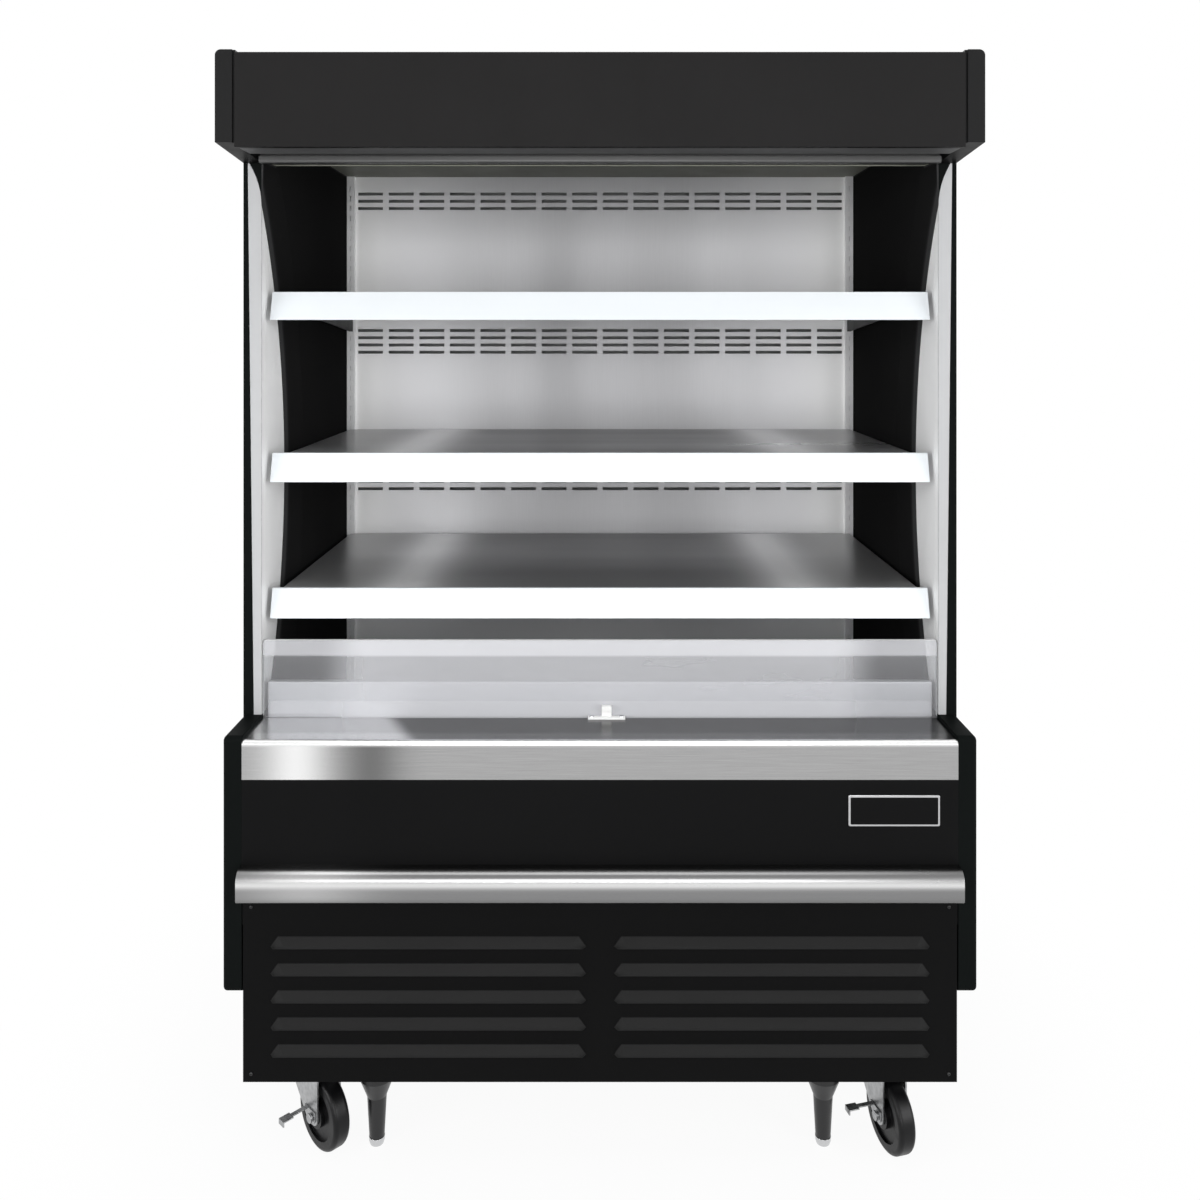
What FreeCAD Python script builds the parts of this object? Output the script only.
"""Open multideck display fridge on casters, in millimetres.

Frame: +X to the right, +Y to the back, +Z up.  The origin is the middle of the footprint, on the floor.
"""

import FreeCAD, Part
import math
import os

import Sketcher

os.makedirs("parts", exist_ok=True)

Vector = FreeCAD.Vector
Rotation = FreeCAD.Rotation
X_AXIS, Y_AXIS, Z_AXIS = Vector(1, 0, 0), Vector(0, 1, 0), Vector(0, 0, 1)

# Every size that can be set by itself.
SIZES = {
    # carcass
    "BodyWidth": 1236,          # between the end panels
    "BodyDepth": 855,           # lower front to rear face
    "TotalHeight": 1931,
    "CanopyOverhang": 37,       # canopy ahead of the lower front
    "CanopyHeight": 165,
    "BaseUnderside": 160,
    "TubUnderside": 430,
    "TubFloorThick": 45,
    "TubFrontThick": 103,
    "RearWallThick": 50,
    "RoofThick": 40,
    "SheetThick": 1.5,
    "PanelSheet": 2,
    "HeavySheet": 3,
    "PieceGap": 0.5,            # between neighbours that only meet
    "RunningGap": 0.05,         # on the radius, shaft in bore
    "MovingGap": 1,             # round what turns or slides
    # end panels
    "EndPanelThick": 33,
    "EndBottom": 314,
    "EndStepHeight": 755,
    "UpperSetback": 109,
    "EndCorner": 9,
    "EdgeRound": 7,
    "FacingThick": 25,
    "FacingDepth": 150,
    "FacingTaper": 11,          # narrower at its foot
    "FacingTip": 3,
    "FacingTipDrop": 44,
    "FacingTipRound": 146,
    # black liner with its bevelled, arched front border
    "LinerThick": 8,
    "ArchRadius": 940,
    "ArchSetback": 250,
    "ArchHeight": 1190,
    "BevelWidth": 105,
    # canopy
    "FasciaThick": 3,
    "CapFrontRise": 8,          # cap's front bottom corner above the fascia's lower edge
    "CapRearDrop": 4,
    "CapCorner": 10,
    "CapProud": 4,              # cap above the fascia and roof
    "CapSeam": 4,               # sunk strip between cap and fascia
    "DischargeSetback": 112,
    "DischargeDepth": 56,
    "DischargeTall": 22,
    "DischargeCell": 16,
    "DischargeWeb": 4,
    "CeilingHeight": 64,        # above the canopy's lower edge
    "TrayDepth": 92,
    "TrayTall": 26,
    "TrayChamfer": 14,
    "LampWide": 30,
    "LampTall": 12,
    "LampLength": 1180,
    # night curtain
    "CurtainSetback": 97,
    "RollerHeight": 72,         # above the canopy's lower edge
    "RollerRadius": 22,
    "StubRadius": 6,
    "StubSeat": 10,
    "BarDepth": 16,
    "BarTall": 12,
    "BarRound": 4,
    "CatchOffset": 12,
    "CatchBaseWide": 68,
    "CatchBaseTall": 4,
    "CatchDepth": 9,
    "CatchHookWide": 18,
    "CatchHookTall": 24,
    # rear duct panel and its slots
    "DuctDepth": 58,
    "SlotLength": 60,
    "SlotTall": 7,
    "SlotPitch": 74,
    "SlotColumns": 16,
    "SlotRowPitch": 17.5,
    "TopSlotHeight": 23,        # above the canopy's lower edge
    "SlotSetDrop": 330,
    # shelves
    "UpperShelfHeight": 1520,
    "MiddleShelfHeight": 1221,
    "LowerShelfHeight": 970,
    "RailSetback": 142,
    "ShelfSetback": 150,
    "ShelfWidth": 1200,
    "ShelfFlange": 28,
    "RailTall": 52,
    "RailRise": 8,
    "RailLean": 15,
    "RailLength": 1216,
    "RailLip": 9,
    "RailHook": 22,
    "UprightWide": 18,
    "UprightDeep": 12,
    "BracketThick": 3,
    "BracketTall": 62,
    "BracketNose": 20,
    "BracketReach": 520,
    "DeckHeight": 125,          # above the tub's floor
    "DeckSetback": 205,
    "DeckFlange": 22,
    # front edge, riser glass and return air
    "SillTop": 748,
    "SillFaceTall": 67,
    "SillNose": 8,
    "GlassSetback": 112,
    "GlassThick": 6,
    "GlassTop": 890,
    "GlassSeat": 8,
    "GlassSideGap": 2,
    "GlassCorner": 6,
    "ReturnTop": 811,
    "ReturnTopDeep": 14,
    "ReturnSlotWide": 8,
    "ReturnSlotPitch": 24,
    "ReturnSlotLength": 120,
    # lower front
    "FrontPanelBottom": 507,
    "BumperBottom": 480,
    "BumperTall": 55,
    "BumperDepth": 30,
    "BumperWall": 2.5,
    "BumperLength": 1238,
    "BumperTopRound": 20,
    "BumperFootRound": 9,
    "GrilleInset": 2.5,
    "LouvreLength": 545,
    "LouvreTall": 18,
    "LouvrePitch": 46.5,
    "LouvreDepth": 9,
    "LouvreSlope": 26,
    "LouvreLip": 4,
    "LouvreBankOffset": 296,
    "LouvreBottom": 208,
    "LouvreRows": 5,
    "VentLength": 300,
    "VentTall": 8,
    "VentPitch": 22,
    "VentRows": 8,
    "VentOffset": 250,
    # base frame
    "RailSection": 34,
    "SideInset": 2.5,
    "CoverRecess": 24,          # rear cover ahead of the rear face
    # refrigeration
    "CoilWidth": 1080,
    "CoilDeep": 250,
    "CoilTall": 104,
    "CoilSetback": 350,
    "CoilFins": 34,
    "FinThick": 1.2,
    "TubeRadius": 5,
    "FanDeckSetback": 300,
    "FanOffset": 270,
    "FanRadius": 48,
    "FanHub": 19,
    "FanDeep": 18,
    "FanShaft": 4,
    "FanBlades": 5,
    "FanMotorRadius": 24,
    "FanMotorDeep": 30,
    "CondenserFanRadius": 95,
    "CondenserOffset": 300,
    "CondenserSetback": 60,
    "CondenserWide": 330,
    "CondenserDeep": 66,
    "CondenserTall": 222,
    "CondenserFins": 24,
    "ShroudDeep": 40,
    "CompressorRadius": 82,
    "CompressorTall": 205,
    "CompressorOffset": 250,
    "CompressorSetback": 520,
    "CompressorFoot": 20,
    "PanWide": 420,
    "PanDeep": 260,
    "PanTall": 34,
    "PanOffset": 300,
    "PanSetback": 480,
    "PipeRadius": 6,
    "PipeBend": 20,
    "PipeBelow": 22,            # pipes below the tub
    "DrierRadius": 18,
    "DrierLength": 110,
    "DrainRadius": 7,
    "DrainWall": 2,
    "DrainLength": 190,
    # controls at the back
    "ControlWide": 190,
    "ControlTall": 110,
    "ControlDeep": 84,
    "ControlOffset": 440,
    "ControlBottom": 138,       # below the tub
    "SwitchWide": 14,
    "SwitchTall": 22,
    "SwitchOffset": 62,
    "SwitchTilt": 9,
    "GlandHeight": 230,
    "GlandBore": 5,
    "GlandRadius": 10,
    "GlandFlange": 16,
    # casters
    "CasterOffset": 511,
    "CasterSetback": 88,
    "CasterTrail": 26,
    "LeftYaw": 45,
    "RightYaw": 15,
    "WheelRadius": 62.5,
    "TreadWide": 32,
    "TreadRound": 8,
    "HubWide": 40,
    "HubRadius": 22,
    "WheelRecess": 5,
    "RimRadius": 44,
    "AxleRadius": 5,
    "AxleHead": 8,
    "ForkSheet": 3,
    "ForkEye": 15,
    "ForkCrown": 132,
    "ForkWide": 90,
    "RaceRadius": 38,
    "RaceTall": 13,
    "PlateThick": 6,
    "PlateWide": 102,
    "PlateDeep": 92,
    "PlateBolt": 4.5,
    "PlateBoltX": 80,
    "PlateBoltY": 70,
    "KingpinRadius": 7,
    "BrakePlateWide": 22,
    "BrakeTabReach": 50,
    "BrakeTabWide": 16,
    "BrakeTabLong": 20,
    "BrakeNeckWide": 8,
    "BrakeTabHeight": 72,
    "BrakeTabLip": 7,
    # legs
    "LegOffset": 400,
    "LegSetback": 75,
    "LegTopRadius": 31,
    "LegShaftRadius": 17.5,
    "LegSleeveRadius": 13.5,
    "LegConeTop": 121,
    "LegConeFoot": 87,
    "FootRadius": 14,
    "FootTall": 13.5,
    "StemRadius": 8,
    "StemTop": 120,
}

doc = FreeCAD.newDocument("DisplayFridge")
sheet = doc.addObject("Spreadsheet::Sheet", "Sizes")
for row, (name, number) in enumerate(SIZES.items(), start=1):
    sheet.set(f"A{row}", name)
    sheet.set(f"B{row}", str(number))
    sheet.setAlias(f"B{row}", name)
doc.recompute()


class Size:
    """A length, count or angle: its number now, and the formula over the sheet that gives it."""

    def __init__(self, value, text):
        self.value = float(value)
        self.text = text

    def __add__(self, other):
        other = as_size(other)
        return Size(self.value + other.value, f"({self.text} + {other.text})")

    def __radd__(self, other):
        return as_size(other) + self

    def __sub__(self, other):
        other = as_size(other)
        return Size(self.value - other.value, f"({self.text} - {other.text})")

    def __rsub__(self, other):
        return as_size(other) - self

    def __mul__(self, other):
        other = as_size(other)
        return Size(self.value * other.value, f"({self.text} * {other.text})")

    def __rmul__(self, other):
        return as_size(other) * self

    def __truediv__(self, other):
        other = as_size(other)
        return Size(self.value / other.value, f"({self.text} / {other.text})")

    def __rtruediv__(self, other):
        return as_size(other) / self

    def __neg__(self):
        return 0 - self


def as_size(value):
    return value if isinstance(value, Size) else Size(value, f"{value}")


def sine(angle):
    angle = as_size(angle)
    return Size(math.sin(math.radians(angle.value)), f"sin({angle.text})")


def cosine(angle):
    angle = as_size(angle)
    return Size(math.cos(math.radians(angle.value)), f"cos({angle.text})")


def named(name):
    """The size of that name, as it stands in the sheet."""
    return Size(sheet.get(name), f"Sizes.{name}")


def count(name):
    return int(round(named(name).value))


# ---------------------------------------------------------------- construction helpers

sub_parts = []


def keep(obj):
    """Marks a finished object as one of the sub-parts."""
    sub_parts.append(obj)
    return obj


def bind(obj, prop, length):
    length = as_size(length)
    setattr(obj, prop, length.value)
    obj.setExpression(prop, length.text)


def place(obj, x, y, z, rotation=None, yaw=None):
    """Puts an object at x, y, z, turned by a fixed rotation, or by a yaw that is a size."""
    spot = [as_size(v) for v in (x, y, z)]
    turn = rotation or Rotation()
    if yaw is not None:
        turn = Rotation(Z_AXIS, as_size(yaw).value)
    obj.Placement = FreeCAD.Placement(Vector(*[s.value for s in spot]), turn)
    for letter, s in zip("xyz", spot):
        obj.setExpression(f".Placement.Base.{letter}", s.text)
    if yaw is not None and as_size(yaw).value:
        obj.setExpression(".Placement.Rotation.Angle", as_size(yaw).text)
    return obj


def box(label, low, high):
    """A block between two corners."""
    obj = doc.addObject("Part::Box", label)
    obj.Label = label
    for prop, a, b in zip(("Length", "Width", "Height"), low, high):
        bind(obj, prop, as_size(b) - a)
    return place(obj, *low)


LYING = {
    "X": Rotation(Y_AXIS, 90),
    "Y": Rotation(X_AXIS, -90),
    "Z": Rotation(),
}


def cylinder(label, start, direction, radius, length):
    """A round bar from its start along +X, +Y or +Z."""
    obj = doc.addObject("Part::Cylinder", label)
    obj.Label = label
    bind(obj, "Radius", radius)
    bind(obj, "Height", length)
    return place(obj, *start, rotation=LYING[direction])


def cone(label, start, direction, radius_a, radius_b, length):
    obj = doc.addObject("Part::Cone", label)
    obj.Label = label
    bind(obj, "Radius1", radius_a)
    bind(obj, "Radius2", radius_b)
    bind(obj, "Height", length)
    return place(obj, *start, rotation=LYING[direction])


def fused(label, *pieces):
    obj = doc.addObject("Part::MultiFuse", label)
    obj.Label = label
    obj.Shapes = list(pieces)
    return obj


def cut(label, base, *tools):
    obj = doc.addObject("Part::Cut", label)
    obj.Label = label
    obj.Base = base
    obj.Tool = tools[0] if len(tools) == 1 else fused(label + "_tools", *tools)
    return obj


def group(label, *pieces):
    """Several separate solids that share one node."""
    obj = doc.addObject("Part::Compound", label)
    obj.Label = label
    obj.Links = list(pieces)
    return obj


def corner_arc(before, spot, after, radius):
    """Where a rounded corner leaves its two sides, and its centre."""
    back = (before - spot).normalize()
    ahead = (after - spot).normalize()
    half_angle = back.getAngle(ahead) / 2
    reach = radius / math.tan(half_angle)
    centre = spot + (back + ahead).normalize() * (radius / math.sin(half_angle))
    return spot + back * reach, spot + ahead * reach, centre


def sketch_outline(body, plane, points):
    """A closed outline of straight sides; a point (u, w, radius) gets a rounded corner."""
    sketch = body.newObject("Sketcher::SketchObject", body.Name + "_outline")
    base = [f for f in body.Origin.OriginFeatures if f.Role == plane][0]
    sketch.AttachmentSupport = [(base, "")]
    sketch.MapMode = "FlatFace"
    corners = [tuple(as_size(v) for v in point) for point in points]
    spots = [Vector(c[0].value, c[1].value, 0) for c in corners]
    total = len(corners)
    arcs = {
        i: corner_arc(spots[i - 1], spots[i], spots[(i + 1) % total], c[2].value)
        for i, c in enumerate(corners)
        if len(c) == 3
    }
    lines = []
    for i in range(total):
        follower = (i + 1) % total
        start = arcs[i][1] if i in arcs else spots[i]
        end = arcs[follower][0] if follower in arcs else spots[follower]
        lines.append(sketch.addGeometry(Part.LineSegment(start, end)))
    for i, corner in enumerate(corners):
        line_in, line_out = lines[i - 1], lines[i]
        if i not in arcs:
            sketch.addConstraint(Sketcher.Constraint("Coincident", line_in, 2, line_out, 1))
            pin(sketch, line_out, 1, corner)
            continue
        first, last, centre = arcs[i]
        circle = Part.Circle(centre, Z_AXIS, corner[2].value)
        leftward = (spots[i] - spots[i - 1]).cross(spots[(i + 1) % total] - spots[i]).z > 0
        begin, finish = (first, last) if leftward else (last, first)
        arc = sketch.addGeometry(
            Part.ArcOfCircle(circle, circle.parameter(begin), circle.parameter(finish))
        )
        end_in, end_out = (1, 2) if leftward else (2, 1)
        sketch.addConstraint(Sketcher.Constraint("Tangent", line_in, 2, arc, end_in))
        sketch.addConstraint(Sketcher.Constraint("Tangent", arc, end_out, line_out, 1))
        dimension(sketch, Sketcher.Constraint("Radius", arc, corner[2].value), corner[2])
        point = sketch.addGeometry(Part.Point(spots[i]), True)
        sketch.addConstraint(Sketcher.Constraint("PointOnObject", point, 1, line_in))
        sketch.addConstraint(Sketcher.Constraint("PointOnObject", point, 1, line_out))
        pin(sketch, point, 1, corner)
    return sketch


def dimension(sketch, constraint, length):
    number = sketch.addConstraint(constraint)
    sketch.setExpression(f"Constraints[{number}]", length.text)


def pin(sketch, geometry, end, corner):
    """Holds one point of the sketch at its two coordinates."""
    dimension(
        sketch,
        Sketcher.Constraint("DistanceX", -1, 1, geometry, end, corner[0].value),
        corner[0],
    )
    dimension(
        sketch,
        Sketcher.Constraint("DistanceY", -1, 1, geometry, end, corner[1].value),
        corner[1],
    )


def new_body(label):
    body = doc.addObject("PartDesign::Body", label)
    body.Label = label
    return body


# Which sketch plane a prism stands on, and the coordinate that it is moved along.
PRISM_PLANES = {"X": "YZ_Plane", "Y": "XZ_Plane", "Z": "XY_Plane"}


def prism(label, direction, points, start, end):
    """An outline drawn across +X (y, z), +Y (x, z) or +Z (x, y), padded from start to end."""
    body = new_body(label)
    pad = body.newObject("PartDesign::Pad", label + "_pad")
    pad.Profile = sketch_outline(body, PRISM_PLANES[direction], points)
    bind(pad, "Length", as_size(end) - start)
    pad.Reversed = direction == "Y"  # the XZ plane faces -Y
    body.Tip = pad
    offsets = {"X": (start, 0, 0), "Y": (0, start, 0), "Z": (0, 0, start)}
    return place(body, *offsets[direction])


def turned(label, points, x, y, z, rotation=None):
    """An outline of (radius, height) turned about its own upright axis."""
    body = new_body(label)
    sketch = sketch_outline(body, "XZ_Plane", points)
    turn = body.newObject("PartDesign::Revolution", label + "_turn")
    turn.Profile = sketch
    turn.ReferenceAxis = (sketch, ["V_Axis"])
    turn.Angle = 360
    body.Tip = turn
    return place(body, x, y, z, rotation=rotation)


def rounded(body, radius, chosen):
    """Rounds the edges of a body whose middles, in the body's own frame, pass a test."""
    doc.recompute()
    tip = body.Tip
    edges = enumerate(tip.Shape.Edges, start=1)
    names = [f"Edge{i}" for i, edge in edges if chosen(edge.CenterOfMass)]
    fillet = body.newObject("PartDesign::Fillet", body.Name + f"_round{len(body.Group)}")
    fillet.Base = (tip, names)
    bind(fillet, "Radius", radius)
    body.Tip = fillet
    return body


def plain(label, shape):
    """A shape worked out from the sheet's values."""
    obj = doc.addObject("Part::Feature", label)
    obj.Label = label
    obj.Shape = shape
    return obj


def slots(label, size, spots):
    """Many equal rectangular holes as one tool, each from its own lowest corner."""
    boxes = [Part.makeBox(*size, Vector(*spot)) for spot in spots]
    return plain(label, Part.makeCompound(boxes))


def span(side, inner, outer):
    """The reach along X of a piece between two distances from the middle, on one side."""
    return (inner, outer) if side > 0 else (-as_size(outer), -as_size(inner))


SIDES = {"left": -1, "right": 1}

# ---------------------------------------------------------------- planes that pieces share

sheet_thick = named("SheetThick")
panel_sheet = named("PanelSheet")
heavy_sheet = named("HeavySheet")
gap = named("PieceGap")
running = named("RunningGap")
moving = named("MovingGap")

half_body = named("BodyWidth") / 2
half_total = half_body + named("EndPanelThick")
front = (named("CanopyOverhang") - named("BodyDepth")) / 2
rear = front + named("BodyDepth")
canopy_front = front - named("CanopyOverhang")
upper_front = front + named("UpperSetback")
top = named("TotalHeight")
canopy_foot = top - named("CanopyHeight")
cap_rear_foot = canopy_foot - named("CapRearDrop")
cap_front_foot = canopy_foot + named("CapFrontRise")
roof_top = top - named("CapProud")
roof_foot = top - named("RoofThick")
fascia_back = canopy_front + named("FasciaThick")
liner_face = half_body - named("LinerThick")
inside = liner_face - gap
rear_wall_face = rear - named("RearWallThick")
duct_back = rear_wall_face - named("DuctDepth")
duct_face = duct_back - sheet_thick
ceiling = canopy_foot + named("CeilingHeight")
roller_height = canopy_foot + named("RollerHeight")
discharge_front = front + named("DischargeSetback")
discharge_back = discharge_front + named("DischargeDepth")
tub_foot = named("TubUnderside")
tub_floor = tub_foot + named("TubFloorThick")
tub_front = front + heavy_sheet
tub_front_back = tub_front + named("TubFrontThick")
base_foot = named("BaseUnderside")
base_floor = base_foot + heavy_sheet
sill_top = named("SillTop")
sill_foot = sill_top - named("SillFaceTall")
glass_front = front + named("GlassSetback")
glass_back = glass_front + named("GlassThick")
channel_back = glass_back + gap + sheet_thick
deck_top = tub_floor + named("DeckHeight")
deck_front = front + named("DeckSetback")
upright_face = duct_face - named("UprightDeep")
cover_back = rear - named("CoverRecess")
cover_face = cover_back - panel_sheet
curtain = front + named("CurtainSetback")
coil_front = front + named("CoilSetback")
coil_end = named("CoilWidth") / 2 + 4 * named("FinThick")
riser_x = coil_end + named("PipeBend") + gap
liquid_y = coil_front + named("CoilDeep") / 8
suction_y = coil_front + named("CoilDeep") * 7 / 8
coil_port = tub_floor + named("CoilTall") / 6
control_foot = tub_foot - named("ControlBottom")


# ---------------------------------------------------------------- carcass and outer panels


def edge_facing(name, side):
    """Pale board let into the end panel's front edge, drawn to a point at its top."""
    inner = side * half_body
    outer = side * (half_body + named("FacingThick"))
    outline = [
        (inner, named("EndStepHeight")),
        (outer - side * named("FacingTaper"), named("EndStepHeight")),
        (outer, cap_rear_foot),
        (outer - side * named("FacingTip"), cap_rear_foot),
        (inner, cap_rear_foot - named("FacingTipDrop"), named("FacingTipRound")),
    ]
    return prism(
        f"{name}_facing", "Y", outline, upper_front, upper_front + named("FacingDepth")
    )


def end_panel(name, side, facing):
    low, high = span(side, half_body, half_total)
    corner = named("EndCorner")
    step = named("EndStepHeight")
    outline = [
        (front, named("EndBottom"), corner),
        (rear, named("EndBottom")),
        (rear, top),
        (upper_front, top),
        (upper_front, step),
        (front, step, corner),
    ]
    panel = prism(f"{name}_end_blank", "X", outline, low, high)
    outer = named("EndPanelThick").value if side > 0 else 0.0
    rounded(
        panel,
        named("CapCorner"),
        lambda c: abs(c.x - outer) < 1e-6 and abs(c.z - top.value) < 1e-6,
    )
    rounded(panel, named("EdgeRound"), lambda c: abs(c.x - outer) < 1e-6 and c.z < step.value)
    return cut(f"{name}_end", panel, facing)


def side_liner(name, side):
    """Black wall whose front border is an arc, bevelled down to the facing."""
    low, high = span(side, liner_face, half_body)
    liner_front = channel_back + gap
    outline = [
        (liner_front, deck_top),
        (duct_face, deck_top),
        (duct_face, ceiling),
        (discharge_back + 2 * panel_sheet, ceiling),
        (discharge_back + 2 * panel_sheet, canopy_foot),
        (upper_front, canopy_foot),
        (upper_front, sill_top + gap),
        (liner_front, sill_top + gap),
    ]
    wall = prism(f"{name}_liner_blank", "X", outline, low, high)
    slope = named("BevelWidth") / named("LinerThick")
    centre = front + named("ArchSetback") - named("ArchRadius")
    wide = named("ArchRadius") + named("BevelWidth") + slope * moving
    narrow = named("ArchRadius") - slope * moving
    start = low - moving
    arch = cone(
        f"{name}_arch",
        (start, centre, named("ArchHeight")),
        "X",
        wide if side > 0 else narrow,
        narrow if side > 0 else wide,
        named("LinerThick") + 2 * moving,
    )
    return cut(f"{name}_liner", wall, arch)


def carcass():
    facings = {name: edge_facing(name, side) for name, side in SIDES.items()}
    keep(group("end_panels", *[end_panel(n, s, facings[n]) for n, s in SIDES.items()]))
    keep(group("edge_facings", *facings.values()))
    keep(group("side_liners", *[side_liner(n, s) for n, s in SIDES.items()]))
    keep(box("rear_panel", (-half_body, rear_wall_face, tub_foot), (half_body, rear, roof_foot)))
    keep(box("roof_panel", (-half_body, fascia_back, roof_foot), (half_body, rear, roof_top)))
    insulated_tub()


def insulated_tub():
    """Foamed floor and front wall, with pipe holes and a drain spout over the pan."""
    crown = sill_top - sheet_thick
    outline = [
        (tub_front, tub_foot),
        (rear_wall_face, tub_foot),
        (rear_wall_face, tub_floor),
        (tub_front_back, tub_floor),
        (tub_front_back, crown),
        (tub_front, crown, named("SillNose") - sheet_thick),
    ]
    blank = prism("tub_blank", "X", outline, -half_body, half_body)
    drain_x = -named("PanOffset")
    drain_y = front + named("PanSetback") + named("PanDeep") / 2
    spout = cylinder(
        "tub_spout",
        (drain_x, drain_y, tub_foot - named("DrainLength")),
        "Z",
        named("DrainRadius") + named("DrainWall"),
        named("DrainLength") + moving,
    )
    drain = cylinder(
        "tub_drain",
        (drain_x, drain_y, tub_foot - named("DrainLength") - moving),
        "Z",
        named("DrainRadius"),
        named("DrainLength") + named("TubFloorThick") + 2 * moving,
    )
    holes = [
        cylinder(
            f"tub_pipe_hole{number}",
            (riser_x, y, tub_foot - moving),
            "Z",
            named("PipeRadius") + gap,
            named("TubFloorThick") + 2 * moving,
        )
        for number, y in enumerate((liquid_y, suction_y))
    ]
    return keep(cut("insulated_tub", fused("tub_solid", blank, spout), drain, *holes))


# ---------------------------------------------------------------- canopy and night curtain


def canopy_cap(name, side):
    low, high = span(side, half_body, half_total)
    corner = named("CapCorner")
    if side > 0:
        top_corners = [(high, top, corner), (low, top)]
    else:
        top_corners = [(high, top), (low, top, corner)]
    outline = [(low, cap_rear_foot), (high, cap_rear_foot)] + top_corners
    blank = prism(f"{name}_cap_blank", "Y", outline, canopy_front, upper_front)
    under = [
        (canopy_front, cap_rear_foot - moving),
        (upper_front, cap_rear_foot - moving),
        (upper_front, cap_rear_foot),
        (canopy_front, cap_front_foot),
    ]
    slope = prism(f"{name}_cap_under", "X", under, low, high)
    seat_low, _ = span(side, half_body, half_body + named("StubSeat") + moving)
    bearing = cylinder(
        f"{name}_cap_bearing",
        (seat_low, curtain, roller_height),
        "X",
        named("StubRadius") + running,
        named("StubSeat") + moving,
    )
    seam_low, seam_high = span(side, half_body - moving, half_body + named("CapSeam"))
    seam = box(
        f"{name}_cap_seam",
        (seam_low, canopy_front - moving, cap_rear_foot - moving),
        (seam_high, canopy_front + named("CapSeam"), top + moving),
    )
    return cut(f"{name}_cap", blank, slope, bearing, seam)


def canopy():
    lip = named("CapCorner") + named("FasciaThick")
    fascia = [
        (canopy_front, canopy_foot),
        (canopy_front + lip, canopy_foot),
        (canopy_front + lip, canopy_foot + panel_sheet),
        (fascia_back, canopy_foot + panel_sheet),
        (fascia_back, roof_top),
        (canopy_front, roof_top, named("FasciaThick") - gap),
    ]
    keep(prism("canopy_fascia", "X", fascia, -half_body, half_body))
    keep(group("canopy_caps", *[canopy_cap(n, s) for n, s in SIDES.items()]))
    lamp_tray()
    ceiling_sheet = [
        (discharge_back, canopy_foot),
        (discharge_back + panel_sheet, canopy_foot),
        (discharge_back + panel_sheet, ceiling),
        (duct_back, ceiling),
        (duct_back, ceiling + panel_sheet),
        (discharge_back, ceiling + panel_sheet),
    ]
    keep(prism("ceiling_liner", "X", ceiling_sheet, -half_body, half_body))
    discharge_grille()
    night_curtain()


def lamp_tray():
    """Folded tray under the canopy, with the lamp lying in it."""
    foot = canopy_foot + panel_sheet
    back = fascia_back + named("TrayDepth")
    head = foot + named("TrayTall")
    chamfer = named("TrayChamfer")
    inset = panel_sheet * 0.414  # the sheet's thickness, carried round a 45 degree fold
    tray = [
        (fascia_back, foot),
        (back - chamfer, foot),
        (back, foot + chamfer),
        (back, head),
        (back - panel_sheet, head),
        (back - panel_sheet, foot + chamfer + inset),
        (back - chamfer - inset, foot + panel_sheet),
        (fascia_back + panel_sheet, foot + panel_sheet),
        (fascia_back + panel_sheet, head),
        (fascia_back, head),
    ]
    keep(prism("lamp_tray", "X", tray, gap - half_body, half_body - gap))
    middle = (fascia_back + back) / 2
    half = named("LampLength") / 2
    lamp = [
        (middle - named("LampWide") / 2, foot + panel_sheet),
        (middle + named("LampWide") / 2, foot + panel_sheet),
        (middle + named("LampWide") / 2, foot + panel_sheet + named("LampTall"), panel_sheet),
        (middle - named("LampWide") / 2, foot + panel_sheet + named("LampTall"), panel_sheet),
    ]
    keep(prism("canopy_lamp", "X", lamp, -half, half))


def discharge_grille():
    """Block of square cells that lays the cold air down behind the curtain."""
    foot = canopy_foot + panel_sheet
    tall = named("DischargeTall")
    block = box(
        "discharge_block",
        (-inside, discharge_front, foot),
        (inside, discharge_back, foot + tall),
    )
    cell = named("DischargeCell").value
    pitch = cell + named("DischargeWeb").value
    columns = int((2 * inside.value - pitch) / pitch)
    rows = int((named("DischargeDepth").value - named("DischargeWeb").value) / pitch)
    first_x = -(columns * pitch - named("DischargeWeb").value) / 2
    used = rows * pitch - named("DischargeWeb").value
    first_y = (discharge_front + discharge_back).value / 2 - used / 2
    spots = [
        (first_x + i * pitch, first_y + j * pitch, foot.value - 1)
        for i in range(columns)
        for j in range(rows)
    ]
    cells = slots("discharge_cells", (cell, cell, tall.value + 2), spots)
    return keep(cut("air_discharge_grille", block, cells))


def night_curtain():
    reach = half_body - moving
    roll = cylinder(
        "curtain_roll",
        (-reach, curtain, roller_height),
        "X",
        named("RollerRadius"),
        2 * reach,
    )
    seat = half_body + named("StubSeat")
    stub = cylinder(
        "curtain_stub",
        (-seat, curtain, roller_height),
        "X",
        named("StubRadius"),
        2 * seat,
    )
    keep(fused("curtain_roller", roll, stub))
    deep, tall, corner = named("BarDepth"), named("BarTall"), named("BarRound")
    foot = canopy_foot - tall + panel_sheet
    off_roll = curtain - named("RollerRadius") - gap
    hem = off_roll - sheet_thick
    middle = (off_roll + hem) / 2
    bar = [
        (middle - deep / 2, foot, corner),
        (middle + deep / 2, foot, corner),
        (middle + deep / 2, foot + tall),
        (off_roll, foot + tall),
        (off_roll, roller_height),
        (hem, roller_height),
        (hem, foot + tall),
        (middle - deep / 2, foot + tall),
    ]
    keep(prism("curtain_pull_bar", "X", bar, -inside, inside))


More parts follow.
